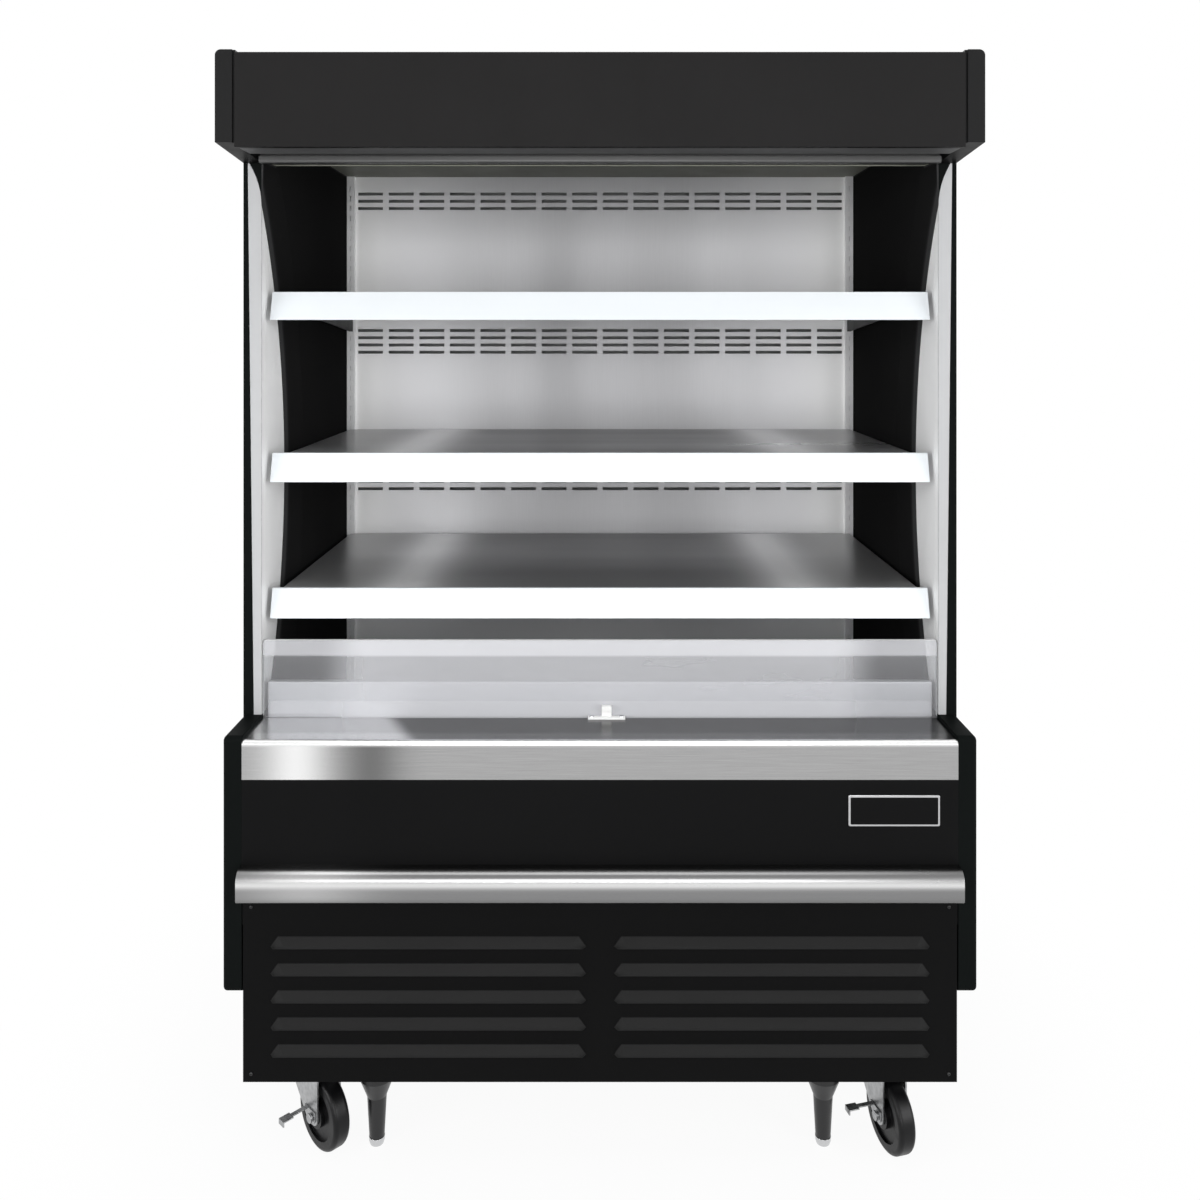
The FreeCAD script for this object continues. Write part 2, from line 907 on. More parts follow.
def curtain_catch():
    """White clip on the sill that holds the pull bar down."""
    middle = named("CatchOffset")
    back = glass_front - gap
    face = back - named("CatchDepth")
    base = box(
        "catch_base",
        (middle - named("CatchBaseWide") / 2, face, sill_top),
        (middle + named("CatchBaseWide") / 2, back, sill_top + named("CatchBaseTall")),
    )
    hook = box(
        "catch_hook",
        (middle - named("CatchHookWide") / 2, back - heavy_sheet, sill_top),
        (middle + named("CatchHookWide") / 2, back, sill_top + named("CatchHookTall")),
    )
    nose = box(
        "catch_nose",
        (
            middle - named("CatchHookWide") / 2,
            face,
            sill_top + named("CatchHookTall") - named("CatchDepth"),
        ),
        (middle + named("CatchHookWide") / 2, back, sill_top + named("CatchHookTall")),
    )
    return keep(fused("curtain_catch", base, hook, nose))


# ---------------------------------------------------------------- display space


def duct_panel():
    """Rear sheet with sets of slots that let cold air onto each shelf."""
    blank = box("duct_blank", (-inside, duct_face, deck_top), (inside, duct_back, ceiling))
    pitch = named("SlotPitch").value
    length = named("SlotLength").value
    columns = count("SlotColumns")
    first_x = -((columns - 1) * pitch + length) / 2
    highest = (canopy_foot + named("TopSlotHeight")).value
    drop = named("SlotSetDrop").value
    rows = [
        highest - set_number * drop - row * named("SlotRowPitch").value
        for set_number, set_rows in enumerate((3, 4, 4))
        for row in range(set_rows)
    ]
    tall = named("SlotTall").value
    spots = [
        (first_x + i * pitch, duct_face.value - 1, z - tall / 2)
        for z in rows
        for i in range(columns)
    ]
    holes = slots("duct_slots", (length, sheet_thick.value + 2, tall), spots)
    return keep(cut("rear_duct_panel", blank, holes))


def uprights():
    posts = []
    wide = named("UprightWide")
    for name, side in SIDES.items():
        low, high = span(side, inside - wide, inside)
        post = box(f"{name}_post", (low, upright_face, deck_top), (high, duct_face, ceiling))
        pitch = 2 * named("UprightDeep").value
        holes = int((ceiling - deck_top).value / pitch) - 1
        size = (wide.value / 6, named("UprightDeep").value / 2 + 1, pitch / 2)
        x = ((low + high) / 2).value - size[0] / 2
        y = upright_face.value - 1
        spots = [(x, y, deck_top.value + (i + 0.75) * pitch) for i in range(holes)]
        posts.append(cut(f"{name}_upright", post, slots(f"{name}_post_slots", size, spots)))
    keep(group("shelf_uprights", *posts))


SHELVES = {
    "upper": named("UpperShelfHeight"),
    "middle": named("MiddleShelfHeight"),
    "lower": named("LowerShelfHeight"),
}


def shelf(name, height):
    """Tray of folded sheet, open below."""
    half = named("ShelfWidth") / 2
    shelf_front = front + named("ShelfSetback")
    back = upright_face - gap
    tray = box(
        f"{name}_tray",
        (-half, shelf_front, height - named("ShelfFlange")),
        (half, back, height),
    )
    hollow = box(
        f"{name}_tray_hollow",
        (sheet_thick - half, shelf_front + sheet_thick, height - named("ShelfFlange") - moving),
        (half - sheet_thick, back - sheet_thick, height - sheet_thick),
    )
    return keep(cut(f"{name}_shelf", tray, hollow))


def shelf_bracket(name, side, height):
    """Tapered arm under one side of a shelf, from the upright forward."""
    face = named("ShelfWidth") / 2 - sheet_thick - gap
    low, high = span(side, face - named("BracketThick"), face)
    head = height - sheet_thick
    foot = head - named("BracketTall")
    notch = height - named("ShelfFlange") - gap
    back_inside = upright_face - gap - sheet_thick
    nose = back_inside - named("BracketReach")
    outline = [
        (nose, head),
        (nose, head - named("BracketNose")),
        (back_inside - named("BracketNose"), foot),
        (upright_face, foot),
        (upright_face, notch),
        (back_inside, notch),
        (back_inside, head),
    ]
    return prism(f"{name}_bracket", "X", outline, low, high)


def ticket_rail(name, height):
    """Leaning strip for price tickets, hooked to the front of a shelf."""
    rail_top = height + named("RailRise")
    foot = rail_top - named("RailTall")
    face = front + named("RailSetback")
    toe = face - named("RailLean")
    lip = named("RailLip")
    skin = panel_sheet
    shelf_front = front + named("ShelfSetback")
    outline = [
        (toe, foot),
        (toe + lip, foot),
        (toe + lip, foot + skin),
        (toe + skin * 1.3, foot + skin),
        (face + skin * 0.8, rail_top - skin),
        (shelf_front - skin, rail_top - skin),
        (shelf_front - skin, height - named("RailHook")),
        (shelf_front, height - named("RailHook")),
        (shelf_front, rail_top),
        (face, rail_top),
    ]
    half = named("RailLength") / 2
    return prism(f"{name}_rail", "X", outline, -half, half)


def display_space():
    duct_panel()
    uprights()
    brackets = []
    rails = []
    for name, height in SHELVES.items():
        shelf(name, height)
        rails.append(ticket_rail(name, height))
        for side_name, side in SIDES.items():
            brackets.append(shelf_bracket(f"{name}_{side_name}", side, height))
    keep(group("shelf_brackets", *brackets))
    keep(group("ticket_rails", *rails))
    deck = box(
        "deck_blank",
        (-inside, deck_front, deck_top - named("DeckFlange")),
        (inside, duct_face - gap, deck_top),
    )
    hollow = box(
        "deck_hollow",
        (sheet_thick - inside, deck_front + sheet_thick, deck_top - named("DeckFlange") - moving),
        (inside - sheet_thick, duct_face, deck_top - sheet_thick),
    )
    keep(cut("deck_pan", deck, hollow))
    return_grille()


def return_grille():
    """Bent sheet behind the riser glass; its slotted slope takes the air back."""
    face = channel_back + gap
    crest = named("ReturnTop")
    edge = face + named("ReturnTopDeep")
    foot = deck_top + sheet_thick
    slope = (crest - foot) / (deck_front - edge)
    outline = [
        (face, sill_top - named("SillNose")),
        (face + panel_sheet, sill_top - named("SillNose")),
        (face + panel_sheet, crest - panel_sheet),
        (edge - panel_sheet + panel_sheet / slope, crest - panel_sheet),
        (deck_front - panel_sheet, deck_top),
        (deck_front + named("DeckFlange"), deck_top),
        (deck_front + named("DeckFlange"), foot),
        (deck_front, foot),
        (edge, crest, panel_sheet),
        (face, crest, panel_sheet),
    ]
    blank = prism("return_blank", "X", outline, -inside, inside)
    pitch = named("ReturnSlotPitch").value
    holes = int(2 * inside.value / pitch) - 1
    wide = named("ReturnSlotWide").value
    length = named("ReturnSlotLength").value
    depth = (deck_front - face).value
    low = (crest + foot).value / 2 - length / 2
    first_x = -((holes - 1) * pitch + wide) / 2
    spots = [(first_x + i * pitch, (face + 2 * panel_sheet).value, low) for i in range(holes)]
    tool = slots("return_slots", (wide, depth, length), spots)
    return keep(cut("return_air_grille", blank, tool))


# ---------------------------------------------------------------- front edge


def front_edge():
    channel_front = glass_front - gap
    seat = sill_top - named("GlassSeat")
    nose = named("SillNose")
    sill = [
        (front, sill_foot),
        (front + sheet_thick, sill_foot),
        (front + sheet_thick, sill_top - sheet_thick, nose - sheet_thick),
        (channel_front - sheet_thick, sill_top - sheet_thick),
        (channel_front - sheet_thick, seat - sheet_thick),
        (channel_back, seat - sheet_thick),
        (channel_back, sill_top),
        (glass_back + gap, sill_top),
        (glass_back + gap, seat),
        (channel_front, seat),
        (channel_front, sill_top),
        (front, sill_top, nose),
    ]
    keep(prism("sill", "X", sill, -half_body, half_body))
    half_glass = half_body - named("GlassSideGap")
    pane = [
        (-half_glass, seat),
        (half_glass, seat),
        (half_glass, named("GlassTop"), named("GlassCorner")),
        (-half_glass, named("GlassTop"), named("GlassCorner")),
    ]
    keep(prism("riser_glass", "Y", pane, glass_front, glass_back))
    curtain_catch()
    lower_front()


def lower_front():
    panel = [
        (front, named("FrontPanelBottom")),
        (front + panel_sheet, named("FrontPanelBottom")),
        (front + panel_sheet, sill_foot),
        (front, sill_foot),
    ]
    keep(prism("front_panel", "X", panel, -half_body, half_body))
    bumper_rail()
    grille_panel()


def bumper_rail():
    """Hollow bright rail across the front, bullnosed on top."""
    foot = named("BumperBottom")
    head = foot + named("BumperTall")
    nose = front - named("BumperDepth")
    wall = named("BumperWall")
    big, small = named("BumperTopRound"), named("BumperFootRound")
    outer = [(nose, foot, small), (front, foot), (front, head), (nose, head, big)]
    inner = [
        (nose + wall, foot + wall, small - wall),
        (front - wall, foot + wall),
        (front - wall, head - wall),
        (nose + wall, head - wall, big - wall),
    ]
    half = named("BumperLength") / 2
    skin = prism("bumper_skin", "X", outer, -half, half)
    core = prism("bumper_core", "X", inner, wall - half, half - wall)
    return keep(cut("bumper_rail", skin, core))


def louvre(x, z, wall):
    """A pressed hood, open below, or with a wall the hollow inside it."""
    half = named("LouvreLength").value / 2 - wall
    tall = named("LouvreTall").value - wall
    depth = named("LouvreDepth").value - wall
    slope = named("LouvreSlope").value
    lip = named("LouvreLip").value - wall
    base = [(-half, 0), (half, 0), (half - slope / 2, tall), (slope / 2 - half, tall)]
    inner = half - slope / 4
    crest = [(-inner, 0), (inner, 0), (half - slope, lip), (slope - half, lip)]
    wires = []
    for y, corners in ((front.value, base), (front.value - depth, crest)):
        points = [Vector(x + u, y, z + w) for u, w in corners]
        wires.append(Part.makePolygon(points + points[:1]))
    return Part.makeLoft(wires, True, True)


def grille_panel():
    """Kick panel with two banks of pressed louvres."""
    half = half_body - named("GrilleInset")
    panel = box(
        "grille_blank",
        (-half, front, base_foot),
        (half, front + panel_sheet, named("FrontPanelBottom")),
    )
    pitch = named("LouvrePitch").value
    wall = panel_sheet.value
    places = [
        (side * named("LouvreBankOffset").value, named("LouvreBottom").value + row * pitch)
        for side in SIDES.values()
        for row in range(count("LouvreRows"))
    ]
    hoods = [louvre(x, z, 0) for x, z in places]
    hollows = [louvre(x, z, wall) for x, z in places]
    size = (
        named("LouvreLength").value - 2 * wall - named("LouvreSlope").value,
        wall + 2,
        named("LouvreTall").value - 2 * wall,
    )
    mouths = slots("grille_mouths", size, [(x - size[0] / 2, front.value - 1, z) for x, z in places])
    raised = fused("grille_raised", panel, plain("grille_hoods", Part.makeCompound(hoods)))
    hollow = plain("grille_hollows", Part.makeCompound(hollows))
    return keep(cut("lower_grille_panel", raised, hollow, mouths))


# ---------------------------------------------------------------- base and machine space


def base_frame():
    half = half_body - named("SideInset")
    back = rear - heavy_sheet
    front_face = front + heavy_sheet
    section = named("RailSection")
    pieces = [
        box("base_sheet", (-half, front_face, base_foot), (half, back, base_floor)),
    ]
    for name, side in SIDES.items():
        low, high = span(side, half - heavy_sheet, half)
        pieces.append(box(f"{name}_base_side", (low, front_face, base_foot), (high, back, tub_foot)))
        low, high = span(side, half - section, half)
        for end_name, face in (("front", front_face), ("rear", back - heavy_sheet)):
            pieces.append(
                box(
                    f"{name}_{end_name}_post",
                    (low, face, base_foot),
                    (high, face + heavy_sheet, tub_foot),
                )
            )
        pieces.append(
            box(
                f"{name}_top_flange",
                (low, front_face, tub_foot - heavy_sheet),
                (high, back, tub_foot),
            )
        )
    for name, face in (("front", front_face), ("rear", back - heavy_sheet)):
        pieces.append(
            box(
                f"{name}_kerb",
                (-half, face, base_foot),
                (half, face + heavy_sheet, base_foot + section),
            )
        )
    return keep(fused("base_frame", *pieces))


def machine_cover():
    """Slotted rear cover, cut out for the controls and the cord gland."""
    half = half_body - named("SideInset") - heavy_sheet - gap
    blank = box(
        "cover_blank",
        (-half, cover_face, base_floor + gap),
        (half, cover_back, tub_foot - heavy_sheet - gap),
    )
    tall = named("VentTall").value
    length = named("VentLength").value
    low = base_floor.value + named("RailSection").value
    spots = [
        (middle - length / 2, cover_face.value - 1, low + row * named("VentPitch").value)
        for middle in (-named("VentOffset").value, named("VentOffset").value / 4)
        for row in range(count("VentRows"))
    ]
    vents = slots("cover_vents", (length, panel_sheet.value + 2, tall), spots)
    offset = named("ControlOffset")
    window = box(
        "cover_window",
        (
            offset - named("ControlWide") / 2 + panel_sheet,
            cover_face - moving,
            control_foot + panel_sheet,
        ),
        (
            offset + named("ControlWide") / 2 - panel_sheet,
            cover_back + moving,
            control_foot + named("ControlTall") - panel_sheet,
        ),
    )
    gland_hole = cylinder(
        "cover_gland_hole",
        (offset, cover_face - moving, named("GlandHeight")),
        "Y",
        named("GlandRadius") + running,
        panel_sheet + 2 * moving,
    )
    return keep(cut("machine_cover", blank, vents, window, gland_hole))


def fin_pack(label, low, high, fins, rows, columns):
    """Coil of thin fins on round tubes that run along X, with an end plate each side."""
    low = [as_size(v) for v in low]
    high = [as_size(v) for v in high]
    fin = named("FinThick")
    pitch = (high[0] - low[0] - fin) / (fins - 1)
    pieces = []
    for i in range(fins):
        x = low[0] + pitch * i
        pieces.append(box(f"{label}_fin{i}", (x, low[1], low[2]), (x + fin, high[1], high[2])))
    for j in range(columns):
        for k in range(rows):
            y = low[1] + (high[1] - low[1]) * ((j + 0.5) / columns)
            z = low[2] + (high[2] - low[2]) * ((k + 0.5) / rows)
            start = low[0] - 4 * fin
            length = high[0] - low[0] + 8 * fin
            pieces.append(
                cylinder(f"{label}_tube{j}_{k}", (start, y, z), "X", named("TubeRadius"), length)
            )
    return keep(fused(label, *pieces))


def fan_mount(label, x, plate_back, z, reach):
    """Cross bar, motor and shaft behind a fan opening."""
    bar_face = plate_back + named("FanDeep") / 2 + moving
    bar = box(
        f"{label}_bar",
        (x - named("FanShaft"), bar_face, z - reach),
        (x + named("FanShaft"), bar_face + heavy_sheet, z + reach),
    )
    legs = [
        box(
            f"{label}_leg{number}",
            (x - named("FanShaft"), plate_back - gap, end),
            (x + named("FanShaft"), bar_face + heavy_sheet, end + heavy_sheet),
        )
        for number, end in enumerate((z - reach, z + reach - heavy_sheet))
    ]
    motor = cylinder(
        f"{label}_motor",
        (x, bar_face, z),
        "Y",
        named("FanMotorRadius"),
        named("FanMotorDeep"),
    )
    shaft_start = plate_back - named("FanDeep")
    shaft = cylinder(
        f"{label}_shaft",
        (x, shaft_start, z),
        "Y",
        named("FanShaft"),
        bar_face - shaft_start + moving,
    )
    return [bar, *legs, motor, shaft]


def fan_rotor(label, x, plate_back, z, radius):
    """Hub with pitched blades, in the plane of its opening."""
    hub = named("FanHub").value
    deep = named("FanDeep").value
    blades = count("FanBlades")
    bore = (named("FanShaft") + running).value
    body = Part.makeCylinder(hub, deep, Vector(0, -deep / 2, 0), Y_AXIS)
    for i in range(blades):
        blade = Part.makeBox(
            radius.value - hub + 1,
            deep * 1.9,
            panel_sheet.value,
            Vector(hub - 1, -deep * 0.95, -panel_sheet.value / 2),
        )
        blade.rotate(Vector(), X_AXIS, 28)
        blade.rotate(Vector(), Y_AXIS, 360 * i / blades)
        body = body.fuse(blade)
    ring = Part.makeCylinder(radius.value, deep, Vector(0, -deep / 2, 0), Y_AXIS)
    body = body.common(ring)
    body = body.cut(Part.makeCylinder(bore, 4 * deep, Vector(0, -2 * deep, 0), Y_AXIS))
    rotor = plain(label, body)
    return keep(place(rotor, x, plate_back - named("FanDeep") / 2, z))


def evaporator():
    half = named("CoilWidth") / 2
    start = coil_front
    foot = tub_floor
    fin_pack(
        "evaporator_coil",
        (-half, start, foot),
        (half, start + named("CoilDeep"), foot + named("CoilTall")),
        count("CoilFins"),
        3,
        4,
    )
    plate_back = front + named("FanDeckSetback")
    plate_front = plate_back - panel_sheet
    middle = (tub_floor + deck_top) / 2
    reach = inside - sheet_thick - gap
    plate = box(
        "fan_deck_plate",
        (-reach, plate_front, tub_floor),
        (reach, plate_back, deck_top - sheet_thick),
    )
    openings = []
    mounts = []
    radius = named("FanRadius")
    for name, side in SIDES.items():
        x = side * named("FanOffset")
        openings.append(
            cylinder(
                f"{name}_fan_opening",
                (x, plate_front - moving, middle),
                "Y",
                radius + 2 * moving,
                panel_sheet + 2 * moving,
            )
        )
        mounts += fan_mount(f"{name}_fan", x, plate_back, middle, radius + 3 * moving)
        fan_rotor(f"{name}_evaporator_fan", x, plate_back, middle, radius)
    drilled = cut("fan_deck_drilled", plate, *openings)
    keep(fused("fan_deck", drilled, *mounts))


def condenser():
    x = -named("CondenserOffset")
    half = named("CondenserWide") / 2
    start = front + named("CondenserSetback")
    foot = base_floor
    head = foot + named("CondenserTall")
    back = start + named("CondenserDeep")
    fin_pack(
        "condenser_coil",
        (x - half, start, foot),
        (x + half, back, head),
        count("CondenserFins"),
        6,
        2,
    )
    shroud_back = back + named("ShroudDeep")
    outer = box("shroud_block", (x - half, back, base_floor), (x + half, shroud_back, head))
    inner = box(
        "shroud_hollow",
        (x - half + panel_sheet, back - moving, base_floor + panel_sheet),
        (x + half - panel_sheet, shroud_back - panel_sheet, head - panel_sheet),
    )
    middle = (base_floor + head) / 2
    radius = named("CondenserFanRadius")
    opening = cylinder(
        "shroud_opening",
        (x, shroud_back - panel_sheet - moving, middle),
        "Y",
        radius + 2 * moving,
        panel_sheet + 2 * moving,
    )
    hood = cut("shroud_hood", outer, inner, opening)
    mount = fan_mount("condenser_fan", x, shroud_back, middle, radius + 3 * moving)
    keep(fused("condenser_fan_shroud", hood, *mount))
    fan_rotor("condenser_fan", x, shroud_back, middle, radius)


def bent_tube(points):
    """Round tube along straight runs joined by arcs."""
    radius = named("PipeRadius").value
    bend = named("PipeBend").value
    spots = [Vector(*[as_size(v).value for v in point]) for point in points]
    edges = []
    here = spots[0]
    for before, spot, after in zip(spots, spots[1:], spots[2:]):
        first, last, centre = corner_arc(before, spot, after, bend)
        crown = centre + (spot - centre).normalize() * bend
        edges.append(Part.LineSegment(here, first).toShape())
        edges.append(Part.Arc(first, crown, last).toShape())
        here = last
    edges.append(Part.LineSegment(here, spots[-1]).toShape())
    path = Part.Wire(edges)
    ring = Part.Wire(Part.makeCircle(radius, spots[0], spots[1] - spots[0]))
    return path.makePipeShell([ring], True, True)


def compressor_unit():
    x, y = named("CompressorOffset"), front + named("CompressorSetback")
    foot = base_floor + named("CompressorFoot")
    radius, tall = named("CompressorRadius"), named("CompressorTall")
    shell = turned(
        "compressor_shell",
        [
            (0, foot),
            (radius, foot, radius / 5),
            (radius, foot + tall, radius / 2),
            (0, foot + tall),
        ],
        x,
        y,
        0,
    )
    plate = box(
        "compressor_plate",
        (x - radius, y - radius, foot - heavy_sheet),
        (x + radius, y + radius, foot + gap),
    )
    feet = [
        cylinder(
            f"compressor_foot{number}",
            (x + dx * (radius - 12), y + dy * (radius - 12), base_floor),
            "Z",
            12,
            named("CompressorFoot") - gap,
        )
        for number, (dx, dy) in enumerate(((-1, -1), (1, -1), (1, 1), (-1, 1)))
    ]
    keep(fused("compressor", shell, plate, *feet))
    condensate_pan()
    refrigerant_pipes(x, y, foot + tall, shell)


def condensate_pan():
    x, y = -named("PanOffset"), front + named("PanSetback")
    half = named("PanWide") / 2
    pan = box(
        "pan_blank",
        (x - half, y, base_floor),
        (x + half, y + named("PanDeep"), base_floor + named("PanTall")),
    )
    hollow = box(
        "pan_hollow",
        (x - half + panel_sheet, y + panel_sheet, base_floor + panel_sheet),
        (
            x + half - panel_sheet,
            y + named("PanDeep") - panel_sheet,
            base_floor + named("PanTall") + moving,
        ),
    )
    keep(cut("condensate_pan", pan, hollow))


def refrigerant_pipes(x, y, shell_top, shell):
    """Hot-gas line, liquid line with its drier, and suction line."""
    port_x = named("CondenserWide") / 2 - named("CondenserOffset") + 4 * named("FinThick")
    port_y = front + named("CondenserSetback") + named("CondenserDeep") * 3 / 4
    high = base_floor + named("CondenserTall") * 11 / 12
    low = base_floor + named("CondenserTall") / 12
    under = tub_foot - named("PipeBelow")
    side = shell_top - named("CompressorRadius")
    shell_side = x - named("CompressorRadius")
    turn_x = shell_side - 3 * named("PipeBend")
    hot_gas = bent_tube(
        [
            (shell_side + named("PipeBend"), y, side),
            (turn_x, y, side),
            (turn_x, port_y, side),
            (turn_x, port_y, high),
            (port_x, port_y, high),
        ]
    )
    drier_x = port_x + 2 * named("PipeBend")
    liquid = bent_tube(
        [
            (port_x, port_y, low),
            (drier_x, port_y, low),
            (drier_x, port_y, under),
            (drier_x, liquid_y, under),
            (riser_x, liquid_y, under),
            (riser_x, liquid_y, coil_port),
            (coil_end, liquid_y, coil_port),
        ]
    )
    drier = Part.makeCylinder(
        named("DrierRadius").value,
        named("DrierLength").value,
        Vector(drier_x.value, port_y.value, (low + 2 * named("PipeBend")).value),
    )
    suction = bent_tube(
        [
            (x, y, shell_top - named("PipeBend")),
            (x, y, under),
            (riser_x, y, under),
            (riser_x, suction_y, under),
            (riser_x, suction_y, coil_port),
            (coil_end, suction_y, coil_port),
        ]
    )
    runs = plain("pipe_runs", Part.makeCompound([hot_gas, liquid.fuse(drier), suction]))
    return keep(cut("refrigerant_pipes", runs, shell))


def controls():
    offset = named("ControlOffset")
    half = named("ControlWide") / 2
    foot = control_foot
    head = foot + named("ControlTall")
    body = box(
        "control_block",
        (offset - half, cover_face - named("ControlDeep"), foot),
        (offset + half, cover_face, head),
    )
    x = offset + named("SwitchOffset")
    z = (foot + head) / 2
    wide = named("SwitchWide") / 2
    tall = named("SwitchTall") / 2
    deep = tall / 3
    tilt = named("SwitchTilt")
    pivot = cover_face - heavy_sheet
    corners = [
        (
            pivot + cosine(tilt) * (a * deep) - sine(tilt) * (b * tall),
            z + sine(tilt) * (a * deep) + cosine(tilt) * (b * tall),
        )
        for a, b in ((-1, -1), (1, -1), (1, 1), (-1, 1))
    ]
    paddle = prism("switch_paddle", "X", corners, x - wide, x + wide)
    pin_radius = deep / 3
    axle = cylinder(
        "switch_axle",
        (x - wide - panel_sheet, pivot, z),
        "X",
        pin_radius,
        2 * (wide + panel_sheet),
    )
    keep(fused("power_switch", paddle, axle))
    well = box(
        "switch_well",
        (x - wide - gap, pivot - 2 * deep - moving, z - tall - 2 * moving),
        (x + wide + gap, cover_face + moving, z + tall + 2 * moving),
    )
    journal = cylinder(
        "switch_journal",
        (x - wide - heavy_sheet, pivot, z),
        "X",
        pin_radius + running,
        2 * (wide + heavy_sheet),
    )
    keep(cut("control_box", body, well, journal))
    gland_z = named("GlandHeight")
    flange = cylinder(
        "gland_flange", (offset, cover_back, gland_z), "Y", named("GlandFlange"), heavy_sheet
    )
    neck_start = cover_face - 2 * heavy_sheet
    neck = cylinder(
        "gland_neck",
        (offset, neck_start, gland_z),
        "Y",
        named("GlandRadius"),
        rear - gap - neck_start - heavy_sheet,
    )
    bore = cylinder(
        "gland_bore",
        (offset, neck_start - moving, gland_z),
        "Y",
        named("GlandBore"),
        rear - neck_start,
    )
    keep(cut("cord_gland", fused("gland_body", flange, neck), bore))


# ---------------------------------------------------------------- casters and legs

WHEEL = named("WheelRadius")


def caster_fork(braked):
    """Crown, race, two legs and the axle, about the swivel axis on the floor."""
    eye = named("ForkEye")
    trail = named("CasterTrail")
    crown = named("ForkCrown")
    inner = named("HubWide") / 2 + moving
    outer = inner + named("ForkSheet")
    crown_top = crown + named("ForkSheet")
    crown_back = named("ForkWide") - trail - eye + 2 * named("ForkSheet")
    leg = [
        (-trail - eye, WHEEL - eye, eye - gap),
        (eye - trail, WHEEL - eye, eye - gap),
        (crown_back, crown - eye),
        (crown_back, crown_top),
        (-trail - eye, crown_top),
    ]
    pieces = []
    for name, side in SIDES.items():
        low, high = span(side, inner, outer)
        pieces.append(prism(f"{name}_fork_leg", "X", leg, low, high))
    pieces.append(
        box("fork_crown", (-outer, -trail - eye, crown), (outer, crown_back, crown_top))
    )
    pieces.append(
        cylinder("fork_race", (0, 0, crown), "Z", named("RaceRadius"), named("RaceTall"))
    )
    reach = outer + panel_sheet + named("ForkSheet")
    pieces.append(
        cylinder("fork_axle", (-reach, -trail, WHEEL), "X", named("AxleRadius"), 2 * reach)
    )
    for name, start in (("left", -reach - named("ForkSheet")), ("right", outer)):
        length = named("ForkSheet") if name == "left" else reach - outer
        pieces.append(
            cylinder(f"{name}_axle_head", (start, -trail, WHEEL), "X", named("AxleHead"), length)
        )
    if not braked:
        pieces.append(
            cylinder(
                "left_axle_spacer",
                (-reach, -trail, WHEEL),
                "X",
                named("AxleHead"),
                reach - outer,
            )
        )
    kingpin_hole = cylinder(
        "kingpin_hole",
        (0, 0, crown - moving),
        "Z",
        named("KingpinRadius") + running,
        named("RaceTall") + 2 * moving,
    )
    return cut("fork_local", fused("fork_blank", *pieces), kingpin_hole)


def caster_wheel():
    half_tread, half_hub = named("TreadWide") / 2, named("HubWide") / 2
    recess = half_tread - named("WheelRecess")
    bore = named("AxleRadius") + running
    outline = [
        (bore, -half_hub),
        (named("HubRadius"), -half_hub),
        (named("HubRadius"), -recess),
        (named("RimRadius"), -recess),
        (named("RimRadius") + gap, -half_tread),
        (WHEEL, -half_tread, named("TreadRound")),
        (WHEEL, half_tread, named("TreadRound")),
        (named("RimRadius") + gap, half_tread),
        (named("RimRadius"), recess),
        (named("HubRadius"), recess),
        (named("HubRadius"), half_hub),
        (bore, half_hub),
    ]
    return turned(
        "wheel_local", outline, 0, -named("CasterTrail"), WHEEL, rotation=LYING["X"]
    )


def brake_lever():
    """Plate on the axle outside the left leg, with a small pedal out to the side on a neck."""
    trail = named("CasterTrail")
    eye = named("BrakePlateWide") / 2
    high = -named("HubWide") / 2 - moving - named("ForkSheet") - gap
    low = high - panel_sheet
    tab_foot = named("BrakeTabHeight")
    tab_head = tab_foot + panel_sheet
    tab_front = -trail + eye - heavy_sheet
    tab_back = tab_front + named("BrakeTabWide")
    plate = prism(
        "brake_plate",
        "X",
        [
            (-trail - eye, WHEEL - eye, eye - gap),
            (-trail + eye, WHEEL - eye, eye - gap),
            (tab_back, tab_foot),
            (tab_back, tab_head),
            (-trail - eye, tab_head),
        ],
        low,
        high,
    )
    end = low - named("BrakeTabReach")
    shoulder = end + named("BrakeTabLong")
    neck_front = (tab_front + tab_back - named("BrakeNeckWide")) / 2
    neck_back = neck_front + named("BrakeNeckWide")
    pedal = [
        (high, neck_front),
        (high, neck_back),
        (shoulder, neck_back),
        (shoulder, tab_back),
        (end, tab_back),
        (end, tab_front),
        (shoulder, tab_front),
        (shoulder, neck_front),
    ]
    tab = prism("brake_tab", "Z", pedal, tab_foot, tab_head)
    drop = box(
        "brake_tab_lip",
        (end, tab_front, tab_foot - named("BrakeTabLip")),
        (end + panel_sheet, tab_back, tab_foot),
    )
    eye_hole = cylinder(
        "brake_eye",
        (low - moving, -trail, WHEEL),
        "X",
        named("AxleRadius") + running,
        panel_sheet + 2 * moving,
    )
    return cut("brake_local", fused("brake_blank", plate, tab, drop), eye_hole)


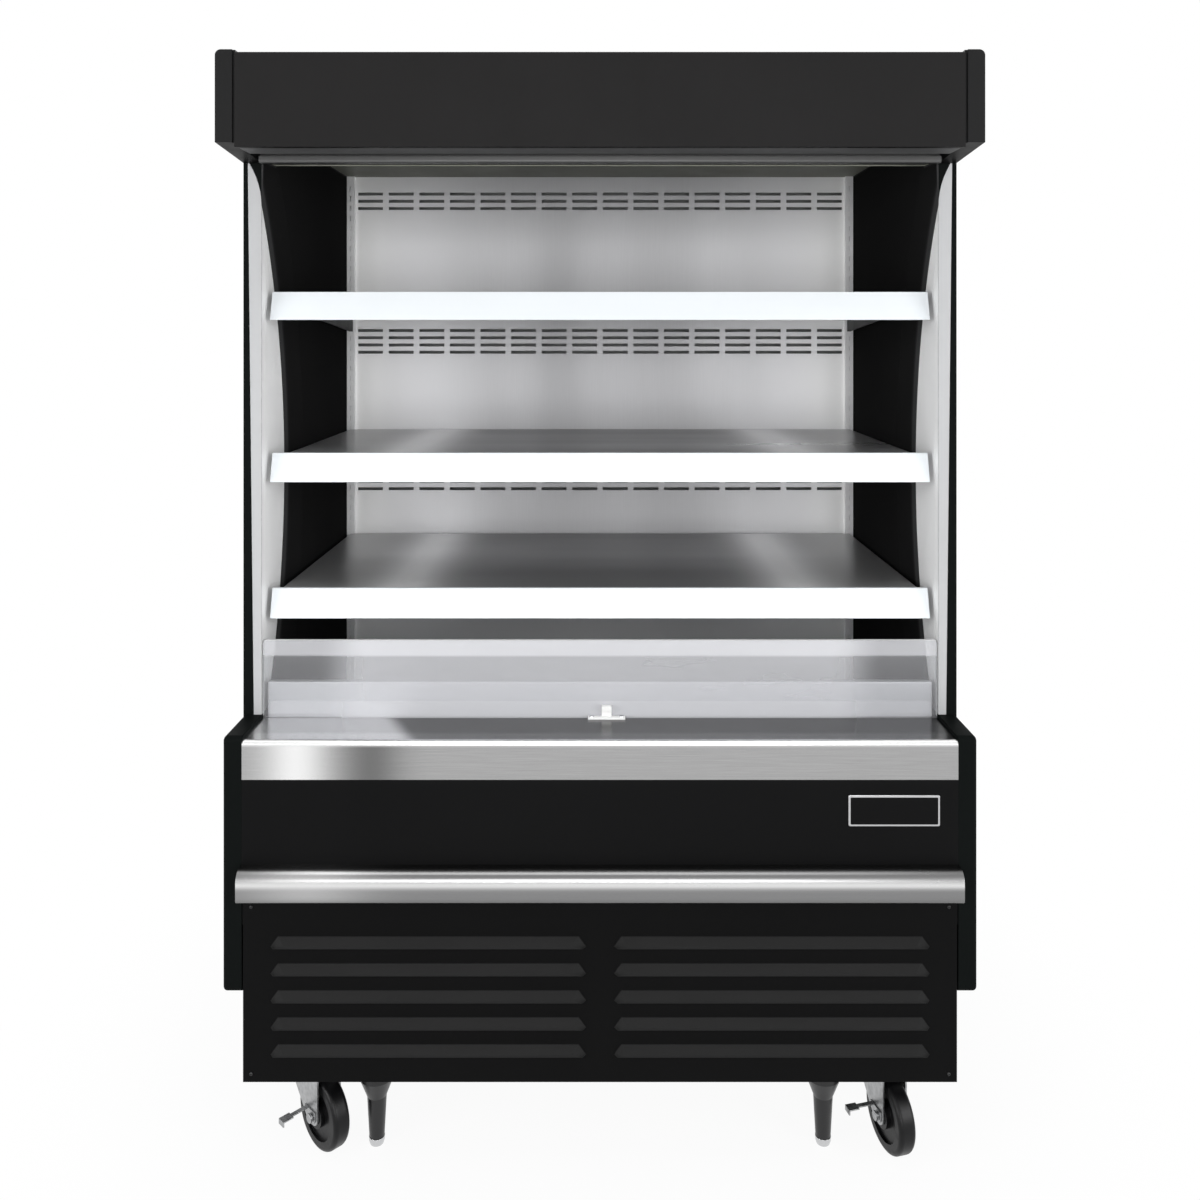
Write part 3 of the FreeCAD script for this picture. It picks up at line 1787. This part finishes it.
def caster_plate(name, x, y):
    """Top plate with its ball ring and kingpin; the fork turns on it."""
    plate_foot = base_foot - named("PlateThick")
    ring_foot = named("ForkCrown") + named("RaceTall") + gap
    half_x, half_y = named("PlateWide") / 2, named("PlateDeep") / 2
    plate = box(
        f"{name}_plate_blank",
        (x - half_x, y - half_y, plate_foot),
        (x + half_x, y + half_y, base_foot),
    )
    ring = cylinder(
        f"{name}_ring",
        (x, y, ring_foot),
        "Z",
        named("RaceRadius") - heavy_sheet,
        plate_foot - ring_foot,
    )
    rivet_foot = named("ForkCrown") - gap - heavy_sheet
    kingpin = cylinder(
        f"{name}_kingpin",
        (x, y, rivet_foot),
        "Z",
        named("KingpinRadius"),
        plate_foot - rivet_foot,
    )
    rivet = cylinder(
        f"{name}_rivet",
        (x, y, rivet_foot),
        "Z",
        named("KingpinRadius") + heavy_sheet,
        heavy_sheet,
    )
    holes = [
        cylinder(
            f"{name}_bolt_hole{number}",
            (x + dx * named("PlateBoltX") / 2, y + dy * named("PlateBoltY") / 2, plate_foot - moving),
            "Z",
            named("PlateBolt"),
            named("PlateThick") + 2 * moving,
        )
        for number, (dx, dy) in enumerate(((-1, -1), (1, -1), (1, 1), (-1, 1)))
    ]
    return cut(f"{name}_plate", fused(f"{name}_plate_solid", plate, ring, kingpin, rivet), *holes)


def leg_tube(name, x, y):
    bore = named("StemRadius") + running
    foot = named("FootTall") + gap
    outline = [
        (bore, foot),
        (named("LegSleeveRadius"), foot),
        (named("LegShaftRadius"), named("LegConeFoot")),
        (named("LegTopRadius"), named("LegConeTop")),
        (named("LegTopRadius"), base_foot),
        (0, base_foot),
        (0, named("StemTop") + moving),
        (bore, named("StemTop") + moving),
    ]
    return turned(f"{name}_leg", outline, x, y, 0)


def leveling_foot(name, x, y):
    """Bright bullet foot on a stem that screws up inside the leg."""
    radius = named("FootRadius")
    outline = [
        (0, 0),
        (radius - panel_sheet, 0, panel_sheet),
        (radius, named("FootTall") / 2, panel_sheet),
        (radius, named("FootTall")),
        (named("StemRadius"), named("FootTall")),
        (named("StemRadius"), named("StemTop")),
        (0, named("StemTop")),
    ]
    return keep(turned(f"{name}_foot", outline, x, y, 0))


def undercarriage():
    plates = []
    tubes = []
    braked_fork = caster_fork(True)
    plain_fork = caster_fork(False)
    wheel = caster_wheel()
    lever = brake_lever()
    for end, middle, way in (("front", front, 1), ("rear", rear, -1)):
        for name, side in SIDES.items():
            corner = f"{end}_{name}"
            x = side * named("CasterOffset")
            y = middle + way * named("CasterSetback")
            yaw = named("LeftYaw") if side < 0 else named("RightYaw")
            fork = braked_fork if end == "front" else plain_fork
            parts = {f"{corner}_caster_fork": fork, f"{corner}_wheel": wheel}
            if end == "front":
                parts[f"{corner}_brake_lever"] = lever
            for label, piece in parts.items():
                keep(place(group(label, piece), x, y, 0, yaw=yaw))
            plates.append(caster_plate(corner, x, y))
            leg_x = side * named("LegOffset")
            leg_y = middle + way * named("LegSetback")
            tubes.append(leg_tube(corner, leg_x, leg_y))
            leveling_foot(corner, leg_x, leg_y)
    keep(group("caster_plates", *plates))
    keep(group("leg_tubes", *tubes))


# ---------------------------------------------------------------- build, test and write

carcass()
canopy()
display_space()
front_edge()
base_frame()
machine_cover()
evaporator()
condenser()
compressor_unit()
controls()
undercarriage()
doc.recompute()

for obj in doc.Objects:
    if "Invalid" in obj.State or "Error" in obj.State:
        raise RuntimeError(f"{obj.Label} did not build: {obj.State}")
for part in sub_parts:
    if part.Shape.isNull() or not part.Shape.isValid():
        raise RuntimeError(f"{part.Label} has no valid shape")
    part.Shape.exportStep(f"parts/{part.Label}.step")
print(len(sub_parts), "sub-parts written")
